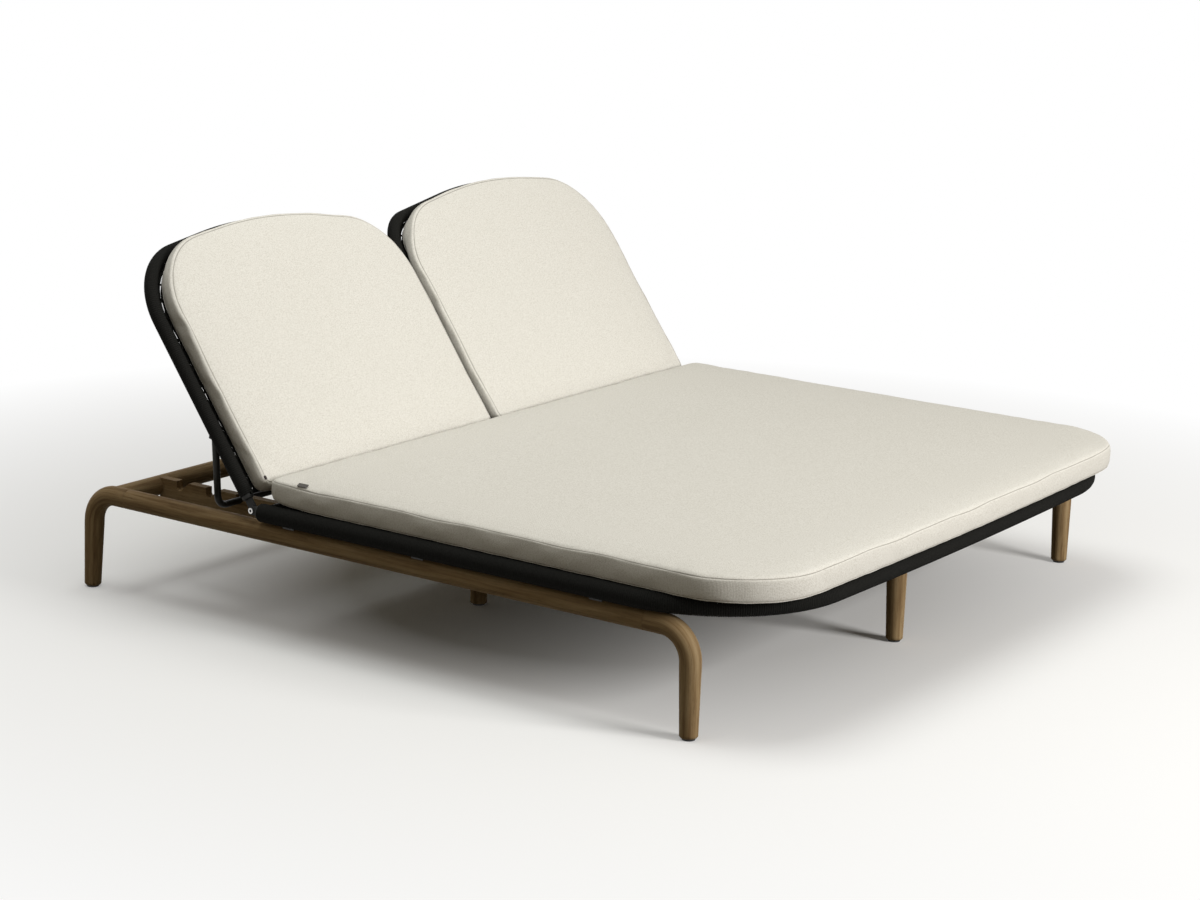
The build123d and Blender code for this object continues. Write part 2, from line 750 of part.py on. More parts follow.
def hinge_pins():
    """The four hinge pins, each with a socket head outside and a flat head inside."""
    pins = []
    for x in (-tube_x, -back_inner_x):
        low = x - lug_t / 2 - lug_gap - lug_t - side_gap
        high = x + lug_t / 2 + side_gap
        pin = rod((low - pin_head_h, hinge_y, hinge_z), (high + pin_head_h, hinge_y, hinge_z), pin_r)
        pin = pin + rod((low - pin_head_h, hinge_y, hinge_z), (low, hinge_y, hinge_z), pin_head_r)
        pin = pin + rod((high, hinge_y, hinge_z), (high + pin_head_h, hinge_y, hinge_z), pin_head_r)
        socket = rod((low - pin_head_h, hinge_y, hinge_z),
                     (low - pin_head_h + socket_depth, hinge_y, hinge_z), socket_r)
        pins.append(pin - socket)
    return group(pins + [flip(pin) for pin in pins])


def in_back(shape):
    """A piece drawn in the plane of the back, set at the back's recline."""
    return back_plane * shape


nodes = {
    "left_rail": rail(-rail_x),
    "centre_rail": rail(0.0),
    "right_rail": rail(rail_x),
    "left_foot_leg": foot_leg(-rail_x),
    "centre_foot_leg": foot_leg(0.0),
    "right_foot_leg": foot_leg(rail_x),
    "left_head_leg": head_leg(-rail_x),
    "centre_head_leg": head_leg(0.0),
    "right_head_leg": head_leg(rail_x),
    "left_mid_leg": mid_leg(-1),
    "right_mid_leg": mid_leg(1),
    "left_foot_beam": beam(-1, foot_beam_y, beam_r),
    "right_foot_beam": beam(1, foot_beam_y, beam_r),
    "left_mid_beam": beam(-1, mid_beam_y, beam_r),
    "right_mid_beam": beam(1, mid_beam_y, beam_r),
    "left_head_beam": beam(-1, head_beam_y, rail_r),
    "right_head_beam": beam(1, head_beam_y, rail_r),
    "right_outer_board": ratchet_board(board_x),
    "right_inner_board": ratchet_board(board_inner_x),
    "teak_dowels": group(dowels()),
    "leg_glides": glides(),
    "seat_frame": seat_frame(),
    "seat_wrap": seat_wrap(),
    "seat_rear_tube": rear_tube(),
    "seat_spine": spine(),
    "seat_net": seat_net(),
    "frame_pads": pads(),
    "frame_bolts": frame_bolts(),
    "outer_hinge_lugs": group([outer_lug(), flip(outer_lug())]),
    "inner_hinge_plates": group([inner_lug(), flip(inner_lug())]),
    "hinge_pins": hinge_pins(),
    "seat_cushion": seat_cushion(),
    "left_back_frame": in_back(back_frame()),
    "left_back_wrap": in_back(back_wrap()),
    "left_back_cross": in_back(back_cross()),
    "left_back_net": in_back(back_net()),
    "left_back_lugs": in_back(back_lugs()),
    "left_back_cushion": in_back(back_cushion()),
    "left_prop_pins": in_back(prop_pins()),
    "left_prop_bar": prop_bar(),
}
nodes["left_outer_board"] = flip(nodes["right_outer_board"])
nodes["left_inner_board"] = flip(nodes["right_inner_board"])
for name in [n for n in nodes if n.startswith(("left_back_", "left_prop_"))]:
    nodes[name.replace("left_", "right_")] = flip(nodes[name])

for name, shape in nodes.items():
    export_step(shape, f"parts/{name}.step")
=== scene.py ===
import bpy
import numpy as np
from mathutils import Matrix


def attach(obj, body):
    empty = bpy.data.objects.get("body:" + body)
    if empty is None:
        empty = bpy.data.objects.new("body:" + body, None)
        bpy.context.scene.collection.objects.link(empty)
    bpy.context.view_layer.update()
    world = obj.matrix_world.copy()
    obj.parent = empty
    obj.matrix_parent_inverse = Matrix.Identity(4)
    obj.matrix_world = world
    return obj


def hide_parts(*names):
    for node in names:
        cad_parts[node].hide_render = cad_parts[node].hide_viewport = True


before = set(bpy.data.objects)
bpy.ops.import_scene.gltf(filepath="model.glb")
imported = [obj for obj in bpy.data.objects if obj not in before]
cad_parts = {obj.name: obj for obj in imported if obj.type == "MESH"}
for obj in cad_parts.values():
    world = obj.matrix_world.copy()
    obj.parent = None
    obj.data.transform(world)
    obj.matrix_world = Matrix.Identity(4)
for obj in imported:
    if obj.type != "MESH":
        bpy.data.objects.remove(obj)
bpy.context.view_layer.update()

# Row frame in metres: +Y from the foot end to the head end, left (-X) is the near side of the photo.
# Heights are over the floor. A back is drawn in its own plane: x from the bed's middle, y up from the hinge.
MM = 0.001
SIDES = (("left", -1), ("right", 1))
X_WAY, Z_WAY = np.array([1.0, 0.0, 0.0]), np.array([0.0, 0.0, 1.0])

# Teak base. The seams are where a rail passes into its leg pieces, and a splay is in degrees.
rail_x, rail_z, rail_r = 0.928, 0.249, 0.025
foot_seam_y, head_seam_y = -0.690, 0.862
foot_leg_y, foot_splay, head_leg_y, head_splay = -0.808, 1.0, 0.992, 3.0
elbow_bend, glide_high, soft = 0.075, 0.005, 0.9 * MM
taper_long, knee_r, toe_long, toe_r = 0.162, 0.0211, 0.003, 0.0185
cross_beams = (("foot", -0.640, 0.022), ("mid", 0.152, 0.022), ("head", 0.9055, 0.025))
mid_leg_y, mid_leg_share, mid_leg_in = 0.152, 0.45, 0.012
mid_leg_low_r, mid_leg_top_r = 0.021, 0.0235

# Seat: the middle of its tube, the rope on it, its net, and the outline of its cushion.
tube_x, tube_z = 0.943, 0.2975
tube_foot_y, foot_bow, foot_bend = -0.972, 0.022, 0.330
seat_winding_rear, seat_winding_r, seat_groove = 0.414, 0.0225, 1.5 * MM
seat_net_rear, seat_net_gap, seat_net_low, seat_net_high = 0.383, 0.060, 0.3148, 0.3166
rope_pitch, net_strand_r = 5.0 * MM, 2.4 * MM
seat_low, side_x, foot_y, rear_y = 0.3198, 0.942, -0.9963, 0.402
seat_high, rear_bend, foot_corner_bend = 0.0645, 0.030, 0.215

# Backs: the hinge line in the row frame, then the middle of the tube, the rope on it and the net in the
# back's plane. The corners are where the straight runs would meet.
hinge_y, hinge_z, recline = 0.436, 0.300, np.radians(54.0)
back_outer_corner, back_inner_corner, back_crown, back_inner_x = 0.670, 0.664, 0.742, 0.024
back_outer_bend, back_inner_bend, back_inner_lean, back_crown_share = 0.180, 0.105, 0.004, 0.40
back_tube_start, back_tube_r = 0.030, 0.014
back_winding_start, back_winding_r, back_groove = 0.036, 0.017, 1.4 * MM
back_net_start, back_net_in, back_net_gap = 0.046, 0.018, 0.043
back_net_low, back_net_high = 2.8 * MM, 4.3 * MM


# Shapes

def route(points, bends, closed=False):
    """Straight runs joined by arcs of their own radii: each arc is its middle plus the radius turned from
    the first touching point to the second, in 32 steps."""
    p = np.array(points, float)
    n = len(p)
    runs = [] if closed else [p[:1]]
    for i, bend in zip(range(n) if closed else range(1, n - 1), bends):
        u = (p[i - 1] - p[i]) / np.linalg.norm(p[i - 1] - p[i])
        v = (p[(i + 1) % n] - p[i]) / np.linalg.norm(p[(i + 1) % n] - p[i])
        half = np.arccos(np.clip(u @ v, -1, 1)) / 2
        middle = p[i] + (u + v) / np.linalg.norm(u + v) * bend / np.sin(half)
        touch = p[i] + u * bend / np.tan(half)
        turn = np.linspace(0, np.pi - 2 * half, 33)[:, None]
        runs.append(middle + (touch - middle) * np.cos(turn) - u * bend * np.sin(turn))
    return np.concatenate(runs if closed else runs + [p[-1:]])


def bow(half, rise, share):
    """The radius of the arc in the middle of a bowed run that takes a share of each of its two halves."""
    return share * np.hypot(half, rise) * half / rise


def reach(line, closed=False):
    """The distance along a line of points at each of them, and one lap more if it is closed."""
    if closed:
        line = np.vstack([line, line[:1]])
    return np.concatenate([[0.0], np.cumsum(np.linalg.norm(np.diff(line, axis=0), axis=1))])


def at(line, s, closed=False):
    """The point at each distance along a line: straight interpolation between its points."""
    where = reach(line, closed)
    if closed:
        line, s = np.vstack([line, line[:1]]), np.mod(s, where[-1])
    return np.stack([np.interp(s, where, line[:, k]) for k in range(line.shape[1])], -1)


def heading(line, s, closed=False):
    """The unit direction at each distance: the difference of two points 1 mm apart."""
    length = reach(line, closed)[-1]
    low, high = s - 0.5 * MM, s + 0.5 * MM
    if not closed:
        low, high = np.clip(low, 0, length - MM), np.clip(high, MM, length)
    d = at(line, high, closed) - at(line, low, closed)
    return d / np.linalg.norm(d, axis=-1, keepdims=True)


def build(name, points, polygons, finish, uv=None, attributes=None, smooth=True):
    """An object at the origin from an array of points and a list of polygon arrays of equal width, flipped
    as a whole if its signed volume comes out negative."""
    volume = 0.0
    for block in polygons:
        a = points[block[:, 0]]
        for k in range(1, block.shape[1] - 1):
            volume += np.einsum("ij,ij->", a, np.cross(points[block[:, k]], points[block[:, k + 1]]))
    if volume < 0:
        polygons = [block[:, ::-1] for block in polygons]
        uv = None if uv is None else [block[:, ::-1] for block in uv]
    loops = np.concatenate([block.ravel() for block in polygons]).astype(np.int32)
    totals = np.concatenate([np.full(len(block), block.shape[1]) for block in polygons]).astype(np.int32)
    mesh = bpy.data.meshes.new(name)
    mesh.vertices.add(len(points))
    mesh.vertices.foreach_set("co", points.astype(np.float32).ravel())
    mesh.loops.add(len(loops))
    mesh.loops.foreach_set("vertex_index", loops)
    mesh.polygons.add(len(totals))
    mesh.polygons.foreach_set("loop_start", np.concatenate([[0], np.cumsum(totals)[:-1]]).astype(np.int32))
    mesh.polygons.foreach_set("loop_total", totals)
    mesh.update(calc_edges=True)
    if uv is not None:
        layer = mesh.uv_layers.new(name="cut")
        flat = np.concatenate([block.reshape(-1, 2) for block in uv])
        layer.data.foreach_set("uv", flat.astype(np.float32).ravel())
    for key, values in (attributes or {}).items():
        layer = mesh.attributes.new(key, "FLOAT_VECTOR", "POINT")
        layer.data.foreach_set("vector", values.astype(np.float32).ravel())
    mesh.polygons.foreach_set("use_smooth", np.full(len(totals), smooth))
    mesh.materials.append(finish)
    obj = bpy.data.objects.new(name, mesh)
    bpy.context.scene.collection.objects.link(obj)
    return obj


def lattice(rows, columns, start=0):
    """The quads of a grid that is closed round its columns."""
    i, j = np.meshgrid(np.arange(rows - 1), np.arange(columns), indexing="ij")
    k = (j + 1) % columns
    return (start + np.stack([i * columns + j, i * columns + k, (i + 1) * columns + k, (i + 1) * columns + j],
                             -1)).reshape(-1, 4)


def bar(name, line, radii, normal, finish, sides=32):
    """A round bar along a plane line: each ring is the point plus its radius times the plane's normal and
    the third direction, by cosine and sine. radii is a list of (distance, radius). The grain attribute is
    the same ring unbent (the two offsets across, and the distance along), moved by a seed from the name."""
    s = np.array([r[0] for r in radii], float)
    r = np.array([r[1] for r in radii], float)
    length = reach(line)[-1]
    fine = np.unique(np.concatenate([s, np.arange(s[0], min(s[-1], length), 6 * MM)]))
    radius = np.interp(fine, s, r)[:, None, None]
    angle = np.linspace(0, 2 * np.pi, sides, endpoint=False)[None, :, None]
    t = heading(line, fine)
    across = np.cross(t, normal)
    across /= np.linalg.norm(across, axis=1, keepdims=True)
    up = np.cross(across, t)
    ring = at(line, fine)[:, None] + radius * (up[:, None] * np.cos(angle) + across[:, None] * np.sin(angle))
    grain = np.concatenate([radius * np.cos(angle), radius * np.sin(angle),
                            np.broadcast_to(fine[:, None, None], (len(fine), sides, 1))], -1)
    n = len(fine)
    caps = np.array([np.arange(sides)[::-1], (n - 1) * sides + np.arange(sides)])
    seed = np.array([0.31, 0.17, 0.83]) * (sum(map(ord, name)) % 97)
    return build(name, ring.reshape(-1, 3), [lattice(n, sides), caps], finish,
                 attributes={"grain": grain.reshape(-1, 3) + seed})


def wound(name, line, radius, depth, normal, finish):
    """Rope wound tightly on a tube: a point goes round by its angle and on by the angle's share of the
    pitch, and its radius falls from the crest to the valley as a half circle does over each turn. A turn
    has 20 sides, and 4 rows across the rope."""
    sides, step = 20, 4
    length = reach(line)[-1]
    rows = int(length / rope_pitch - 1) * step
    i, j = np.meshgrid(np.arange(rows + step), np.arange(sides), indexing="ij")
    s = (i / step + j / sides) * rope_pitch
    phase = (i % step) / step
    rise = np.sqrt(1 - (2 * phase - 1) ** 2)
    r = (radius - depth * (1 - rise))[..., None]
    angle = (2 * np.pi * j / sides)[..., None]
    s = np.clip(s, 0, length)
    t = heading(line, s)
    across = np.cross(t, normal)
    across /= np.linalg.norm(across, axis=-1, keepdims=True)
    up = np.cross(across, t)
    p = at(line, s) + r * (up * np.cos(angle) + across * np.sin(angle))
    a, b = np.meshgrid(np.arange(rows - 1), np.arange(sides - 1), indexing="ij")
    body = np.stack([a * sides + b, a * sides + b + 1, (a + 1) * sides + b + 1, (a + 1) * sides + b], -1)
    c = np.arange(rows - 1)
    join = np.stack([c * sides + sides - 1, (c + step) * sides, (c + step + 1) * sides,
                     (c + 1) * sides + sides - 1], -1)
    end = np.concatenate([np.arange(0, step * sides + 1, sides), np.arange(sides - 1, 0, -1)])
    caps = np.array([end[::-1], end + (rows - 1) * sides])
    lay = np.stack([s, phase * rope_pitch, np.broadcast_to(j * 2 * np.pi * radius / sides, s.shape)], -1)
    return build(name, p.reshape(-1, 3), [body.reshape(-1, 4), join, caps], finish,
                 attributes={"lay": lay.reshape(-1, 3)})


def inside(points, outline):
    """Which points lie inside a closed outline: an odd number of its edges pass to their right."""
    x, y = points[:, 0, None], points[:, 1, None]
    ax, ay = outline[:, 0], outline[:, 1]
    bx, by = np.roll(ax, -1), np.roll(ay, -1)
    spans = (ay > y) != (by > y)
    cut = ax + (y - ay) / np.where(by == ay, 1.0, by - ay) * (bx - ax)
    return (np.sum(spans & (x < cut), axis=1) % 2) == 1


def beside(line, by, sway=0.0):
    """A flat line moved to its left by a distance: each point plus its direction turned a quarter. The
    distance sways by the sum of two sines of the way along."""
    short, long = 0.013, 0.021
    s = np.linspace(0, reach(line)[-1], 500)
    t = heading(line, s)
    by = by + sway * (np.sin(s / short) + 0.6 * np.sin(s / long + 1.0)) / 1.6
    return at(line, s) + by[:, None] * np.stack([-t[:, 1], t[:, 0]], -1)


def strands(name, outline, spacing, low, high, place, finish, edges):
    """A criss-cross net of rope: two sets of lines at 45 degrees, each cut where it leaves the outline and
    lifted and lowered by a cosine as it passes over and under the other set. The edges are ropes laid along
    flat lines, each with its radius and height. All are swept as thin round bars: each ring is the point
    plus the radius times the sideways direction and the height, by cosine and sine."""
    points, quads, lays = [], [], []
    caps = {6: [], 12: []}

    def sweep(line, way, thick, z, s, sides):
        """Adds one bar along a flat line, with the height z and the distance s of each of its points."""
        count = sum(map(len, points))
        n = len(line)
        angle = np.linspace(0, 2 * np.pi, sides, endpoint=False)[None, :]
        ring = np.stack([line[:, :1] - thick * way[:, 1:] * np.cos(angle),
                         line[:, 1:] + thick * way[:, :1] * np.cos(angle),
                         z[:, None] + thick * np.sin(angle)], -1)
        points.append(place(ring.reshape(-1, 3)))
        quads.append(lattice(n, sides, count))
        caps[sides].append(np.array([np.arange(sides)[::-1], (n - 1) * sides + np.arange(sides)]) + count)
        around = np.broadcast_to(angle[..., None] * thick, (n, sides, 1))
        along = np.broadcast_to(s[:, None, None], (n, sides, 1))
        lays.append(np.concatenate([along, around, around], -1).reshape(-1, 3))

    centre = (outline.min(0) + outline.max(0)) / 2
    span = np.linalg.norm(outline.max(0) - outline.min(0))
    half = int(span / spacing / 2)
    for sign in (-1, 1):
        way = np.array([1.0, sign]) / np.sqrt(2)
        side = np.array([-way[1], way[0]])
        for k in range(-half, half + 1):
            s = np.arange(-span / 2, span / 2, spacing / 10)
            p = centre + side * (k * spacing) + s[:, None] * way
            keep = np.flatnonzero(inside(p, outline))
            if len(keep) < 4:
                continue
            s, p = s[keep[0]:keep[-1] + 1], p[keep[0]:keep[-1] + 1]
            weave = np.cos(np.pi * s / spacing + np.pi * k) * sign
            sweep(p, way[None], net_strand_r, (low + high) / 2 + weave * (high - low) / 2, s, 6)
    for line, thick, z in edges:
        s = reach(line)
        sweep(line, heading(line, s), thick, np.full(len(line), z), s, 12)
    return build(name, np.concatenate(points),
                 [np.concatenate(quads), np.concatenate(caps[6]), np.concatenate(caps[12])],
                 finish, attributes={"lay": np.concatenate(lays)})


def square_path(g):
    """Row and column of each border cell of a g by g grid, once round from the first corner."""
    e, zero, end = np.arange(g - 1), np.zeros(g - 1, int), np.full(g - 1, g - 1)
    return np.concatenate([zero, e, end, end - e]), np.concatenate([e, end, end - e, zero])


def panel(border, g):
    """A g by g grid of points inside a closed border of 4(g-1) points: each one is the middle plus its
    share of the way to the border point in its own direction on the square."""
    u, v = np.meshgrid(np.linspace(-1, 1, g), np.linspace(-1, 1, g))
    r = np.maximum(np.abs(u), np.abs(v))
    a, b = u / np.where(r == 0, 1, r), v / np.where(r == 0, 1, r)
    n = g - 1
    t = np.select([b <= -1 + 1e-9, a >= 1 - 1e-9, b >= 1 - 1e-9],
                  [(a + 1) / 2 * n, n + (b + 1) / 2 * n, 2 * n + (1 - a) / 2 * n], 3 * n + (1 - b) / 2 * n)
    lap = np.vstack([border, border[:1]])
    edge = np.stack([np.interp(t, np.arange(4 * n + 1), lap[:, k]) for k in range(2)], -1)
    middle = border.mean(0)
    return middle + r[..., None] * (edge - middle)


def settle(obj, held, cap):
    """Blows a cushion up by a short cloth run with no gravity, its seams and underside held. A point then
    moves at most about the cap: its shift times the cap over the cap plus its own length."""
    frames = 20
    count = len(obj.data.vertices)
    start = np.empty(count * 3, np.float32)
    obj.data.vertices.foreach_get("co", start)
    start = start.reshape(-1, 3)
    group = obj.vertex_groups.new(name="held")
    group.add(np.flatnonzero(held).tolist(), 1.0, "REPLACE")
    cloth = obj.modifiers.new("cloth", "CLOTH")
    rules = cloth.settings
    rules.quality = 4
    rules.mass = 0.3
    rules.tension_stiffness = 18
    rules.compression_stiffness = 18
    rules.bending_stiffness = 1.2
    rules.use_pressure = True
    rules.uniform_pressure_force = 4
    rules.shrink_min = -0.012
    rules.vertex_group_mass = "held"
    rules.effector_weights.gravity = 0
    cloth.point_cache.frame_start = 1
    cloth.point_cache.frame_end = frames
    for step in range(1, frames + 1):
        bpy.context.scene.frame_set(step)
    done = obj.evaluated_get(bpy.context.evaluated_depsgraph_get())
    end = np.empty(count * 3, np.float32)
    done.data.vertices.foreach_get("co", end)
    obj.modifiers.remove(cloth)
    obj.vertex_groups.remove(group)
    bpy.context.scene.frame_set(1)
    shift = end.reshape(-1, 3) - start
    size = np.linalg.norm(shift, axis=1, keepdims=True)
    shift = shift * cap[:, None] / (cap[:, None] + size)
    obj.data.vertices.foreach_set("co", (start + shift).astype(np.float32).ravel())
    obj.data.update()


def marked(line, squares, g):
    """Distances round a closed line at which a cushion's rings have their points: g - 1 even steps between
    each two of the four points that become the corners of its square panels. Also the length of the lap."""
    lap = reach(line, closed=True)
    marks = [lap[np.argmin(np.linalg.norm(line - np.array(c), axis=1))] for c in squares]
    marks = np.array(marks + [marks[0] + lap[-1]])
    marks[1:][marks[1:] < marks[0]] += lap[-1]
    return np.concatenate([np.linspace(a, b, g)[:-1] for a, b in zip(marks, marks[1:])]), lap[-1]


def crowned(border, height, rise, g):
    """A panel inside a border ring and the heights of its points: the ring's height plus the rise times one
    minus a falling exponential of the distance to the ring, smoothed by its four neighbours."""
    fall, passes = 0.055, 12
    flat = panel(border, g)
    gap = np.linalg.norm(flat.reshape(-1, 1, 2) - border[None], axis=-1).min(1).reshape(g, g)
    z = height + rise * (1 - np.exp(-gap / fall))
    for step in range(passes):
        z[1:-1, 1:-1] = (z[1:-1, 1:-1] * 4 + z[2:, 1:-1] + z[:-2, 1:-1] + z[1:-1, 2:] + z[1:-1, :-2]) / 8
    return flat, z


def cushion(name, corners, bends, squares, profile, clear, calm, crown, place, finish, g):
    """A cushion cover: bands of rings round its outline, each moved in by the profile, closed by a crowned
    panel in front and a flat one behind. profile rows are (moved in, height, seam): seam 1 is a seam. Low
    rings also move by what clear gives. The upper seam wavers by two sines of the distance along x and y
    from a calm point. The cut map holds the distance round the edge and the distance to the nearest seam.
    g is the number of points along each side of the square panels."""
    line = route(corners, bends, closed=True)
    s, lap = marked(line, squares, g)
    edge = at(line, s, closed=True)
    way = heading(line, s, closed=True)
    inward = np.stack([-way[:, 1], way[:, 0]], -1)
    by, high, seam = (np.array(column, float) for column in zip(*profile))

    wave_deep, wave_long, wave_short = 1.3 * MM, 0.052, 0.029
    wave = (edge - np.array(calm)).sum(1)
    wave = wave_deep * (np.sin(wave / wave_long) + 0.5 * np.sin(wave / wave_short))
    loose = np.interp(high, [0.2 * high.max(), high[seam == 1].max(), high.max()], [0, 1, 0])[:, None]
    rings = edge[None] + inward[None] * (by[:, None] + 0.5 * wave * loose)[..., None]
    if clear:
        clear_under, clear_ease = 0.021, 0.004
        share = np.clip((clear_under - high) / clear_ease, 0, 1)
        rings = rings + np.array([clear(ring, deep) * part for ring, deep, part in zip(rings, by, share)])
    heights = high[:, None] + wave * loose

    rows, around = heights.shape
    run = np.concatenate([[0.0], np.cumsum(np.hypot(np.diff(by), np.diff(high)))])
    off = np.min(np.abs(run[:, None] - run[seam == 1][None]), axis=1)
    ring_uv = np.stack(np.meshgrid(np.append(s, s[0] + lap), off), -1)
    points = [np.concatenate([rings, heights[..., None]], -1).reshape(-1, 3)]
    quads = [lattice(rows, around)]
    cut = [np.stack([ring_uv[:-1, :-1], ring_uv[:-1, 1:], ring_uv[1:, 1:], ring_uv[1:, :-1]], 2)
           .reshape(-1, 4, 2)]
    total, panels, far_off = rows * around, [], 1.0
    for row, rise in ((0, 0.0), (rows - 1, crown)):
        flat, z = crowned(rings[row], heights[row, 0], rise, g)
        index = np.full((g, g), -1)
        index[square_path(g)] = row * around + np.arange(around)
        free = index < 0
        index[free] = total + np.arange(free.sum())
        points.append(np.concatenate([flat[free], z[free][:, None]], -1))
        total += int(free.sum())
        cell = np.stack([index[:-1, :-1], index[:-1, 1:], index[1:, 1:], index[1:, :-1]], -1).reshape(-1, 4)
        quads.append(cell if row else cell[:, ::-1])
        cut.append(np.full((len(cell), 4, 2), far_off))
        panels.append(index[free])

    obj = build(name, place(np.concatenate(points)), quads, finish, uv=cut)
    under, front = panels
    held = np.zeros(total, bool)
    held[:rows * around] = np.repeat(seam > 0, around)
    held[under] = True
    cap = np.full(total, 2.0 * MM)
    cap[front] = 5.0 * MM
    settle(obj, held, cap)
    smooth = obj.modifiers.new("smooth", "SUBSURF")
    smooth.levels = smooth.render_levels = 1
    return obj


def on_back(side):
    """From the plane of a back (across, up the back, out of its front) to the row frame: the hinge line
    plus the two directions of the reclined plane. The left one is the right one mirrored."""
    up = np.array([0.0, np.cos(recline), np.sin(recline)])
    out = np.array([0.0, -np.sin(recline), np.cos(recline)])

    def place(p):
        x = p[:, :1] * np.array([[side, 0.0, 0.0]])
        return x + np.array([0.0, hinge_y, hinge_z]) + p[:, 1:2] * up + p[:, 2:3] * out
    return place


# Finishes

def material(name, roughness, metallic=0.0):
    """A new material, with its node tree and its main shader."""
    mat = bpy.data.materials.new(name)
    mat.use_nodes = True
    tree = mat.node_tree
    shader = tree.nodes["Principled BSDF"]
    shader.inputs["Roughness"].default_value = roughness
    shader.inputs["Metallic"].default_value = metallic
    return mat, tree, shader


def add(tree, kind, inputs=(), **settings):
    """A node with its settings, and its inputs linked or set."""
    node = tree.nodes.new("ShaderNode" + kind)
    for key, value in settings.items():
        setattr(node, key, value)
    for key, value in dict(inputs).items():
        if isinstance(value, bpy.types.NodeSocket):
            tree.links.new(value, node.inputs[key])
        else:
            node.inputs[key].default_value = value
    return node


def place_of(tree, source, scale=(1, 1, 1)):
    """The pattern's coordinates: Object coordinates, or an attribute of the piece, times a scale."""
    if source == "object":
        vector = add(tree, "TexCoord").outputs["Object"]
    else:
        vector = add(tree, "Attribute", attribute_name=source).outputs["Vector"]
    return add(tree, "Mapping", {"Vector": vector, "Scale": scale}).outputs["Vector"]


def noise(tree, vector, scale, detail, rough):
    """The height of a noise pattern."""
    node = add(tree, "TexNoise", {"Vector": vector, "Scale": scale, "Detail": detail, "Roughness": rough})
    return node.outputs["Fac"]


def ramp(tree, value, stops):
    """A colour ramp through (place, colour) stops."""
    node = add(tree, "ValToRGB", {"Fac": value})
    band = node.color_ramp
    while len(band.elements) < len(stops):
        band.elements.new(0.5)
    for element, (place, colour) in zip(band.elements, stops):
        element.position = place
        element.color = (*colour, 1)
    return node.outputs["Color"]


def blend(tree, share, first, second):
    """A colour mixed by a share with a fixed second one. A Mix node takes its colours at sockets 6 and 7."""
    return add(tree, "Mix", {0: share, 6: first, 7: (*second, 1)}, data_type="RGBA").outputs[2]


def bump(tree, shader, height, depth, strength):
    """Gives the shader a bump from a height pattern, in metres."""
    node = add(tree, "Bump", {"Height": height, "Distance": depth, "Strength": strength})
    tree.links.new(node.outputs["Normal"], shader.inputs["Normal"])


def calc(tree, how, a, b=0.0):
    """One sum on two values."""
    return add(tree, "Math", {0: a, 1: b}, operation=how).outputs[0]


def cushion_cloth():
    """Off-white outdoor cloth: a plain weave of pale yarns, mottled by darker ones, with painted shade along
    its sewn seams.
    """
    mat, tree, shader = material("cushion cloth", 0.9)
    place = place_of(tree, "object")
    slub = noise(tree, place, 330.0, 3.0, 0.75)
    broad = noise(tree, place, 3.0, 2.0, 0.5)
    colour = ramp(tree, slub, [(0.36, (0.600, 0.575, 0.520)), (0.49, (0.712, 0.692, 0.642)),
                               (0.62, (0.785, 0.767, 0.720))])
    colour = blend(tree, calc(tree, "MULTIPLY", broad, 0.14), colour, (0.60, 0.575, 0.50))
    # Painted shade: the colour darkens to a dull brown within 2 mm of each seam.
    seam_shade_half = 2.0 * MM
    off = add(tree, "SeparateXYZ", {"Vector": add(tree, "UVMap", uv_map="cut").outputs["UV"]}).outputs["Y"]
    near = calc(tree, "SUBTRACT", 1.0, calc(tree, "MULTIPLY", off, 1 / seam_shade_half))
    near = calc(tree, "MAXIMUM", near, 0.0)
    colour = blend(tree, calc(tree, "MULTIPLY", near, 0.75), colour, (0.15, 0.130, 0.105))
    tree.links.new(colour, shader.inputs["Base Color"])
    shader.inputs["Sheen Weight"].default_value = 0.05
    shader.inputs["Sheen Roughness"].default_value = 0.5
    shader.inputs["Specular IOR Level"].default_value = 0.15
    warp, weft = (add(tree, "TexWave", {"Vector": place, "Scale": 95.0, "Distortion": 0.4},
                      bands_direction=way).outputs["Fac"] for way in ("X", "DIAGONAL"))
    weave = calc(tree, "ADD", calc(tree, "MULTIPLY", warp, weft), slub)
    bump(tree, shader, weave, 0.35 * MM, 0.6)
    return mat


def rope():
    """Dark outdoor rope: fine fibres, dull patches, and painted shade darkening the valleys between the
    turns.
    """
    mat, tree, shader = material("rope", 0.82)
    place = place_of(tree, "object")
    fibre = noise(tree, place_of(tree, "lay", (900.0, 260.0, 900.0)), 1.0, 2.0, 0.6)
    patch = noise(tree, place, 30.0, 2.0, 0.5)
    colour = ramp(tree, fibre, [(0.35, (0.005, 0.005, 0.0045)), (0.65, (0.019, 0.0187, 0.0165))])
    colour = blend(tree, calc(tree, "MULTIPLY", patch, 0.35), colour, (0.009, 0.0088, 0.0078))
    # Painted shade: the colour darkens towards the valley between each two turns of the rope.
    lay = place_of(tree, "lay", (1.0, 1 / rope_pitch, 1.0))
    turn = add(tree, "SeparateXYZ", {"Vector": lay}).outputs["Y"]
    low = calc(tree, "ABSOLUTE", calc(tree, "SUBTRACT", calc(tree, "FRACT", turn), 0.5))
    low = calc(tree, "POWER", calc(tree, "MULTIPLY", low, 2.0), 3.0)
    colour = blend(tree, calc(tree, "MULTIPLY", low, 0.85), colour, (0.002, 0.002, 0.002))
    tree.links.new(colour, shader.inputs["Base Color"])
    shader.inputs["Specular IOR Level"].default_value = 0.08
    bump(tree, shader, fibre, 0.5 * MM, 0.7)
    return mat


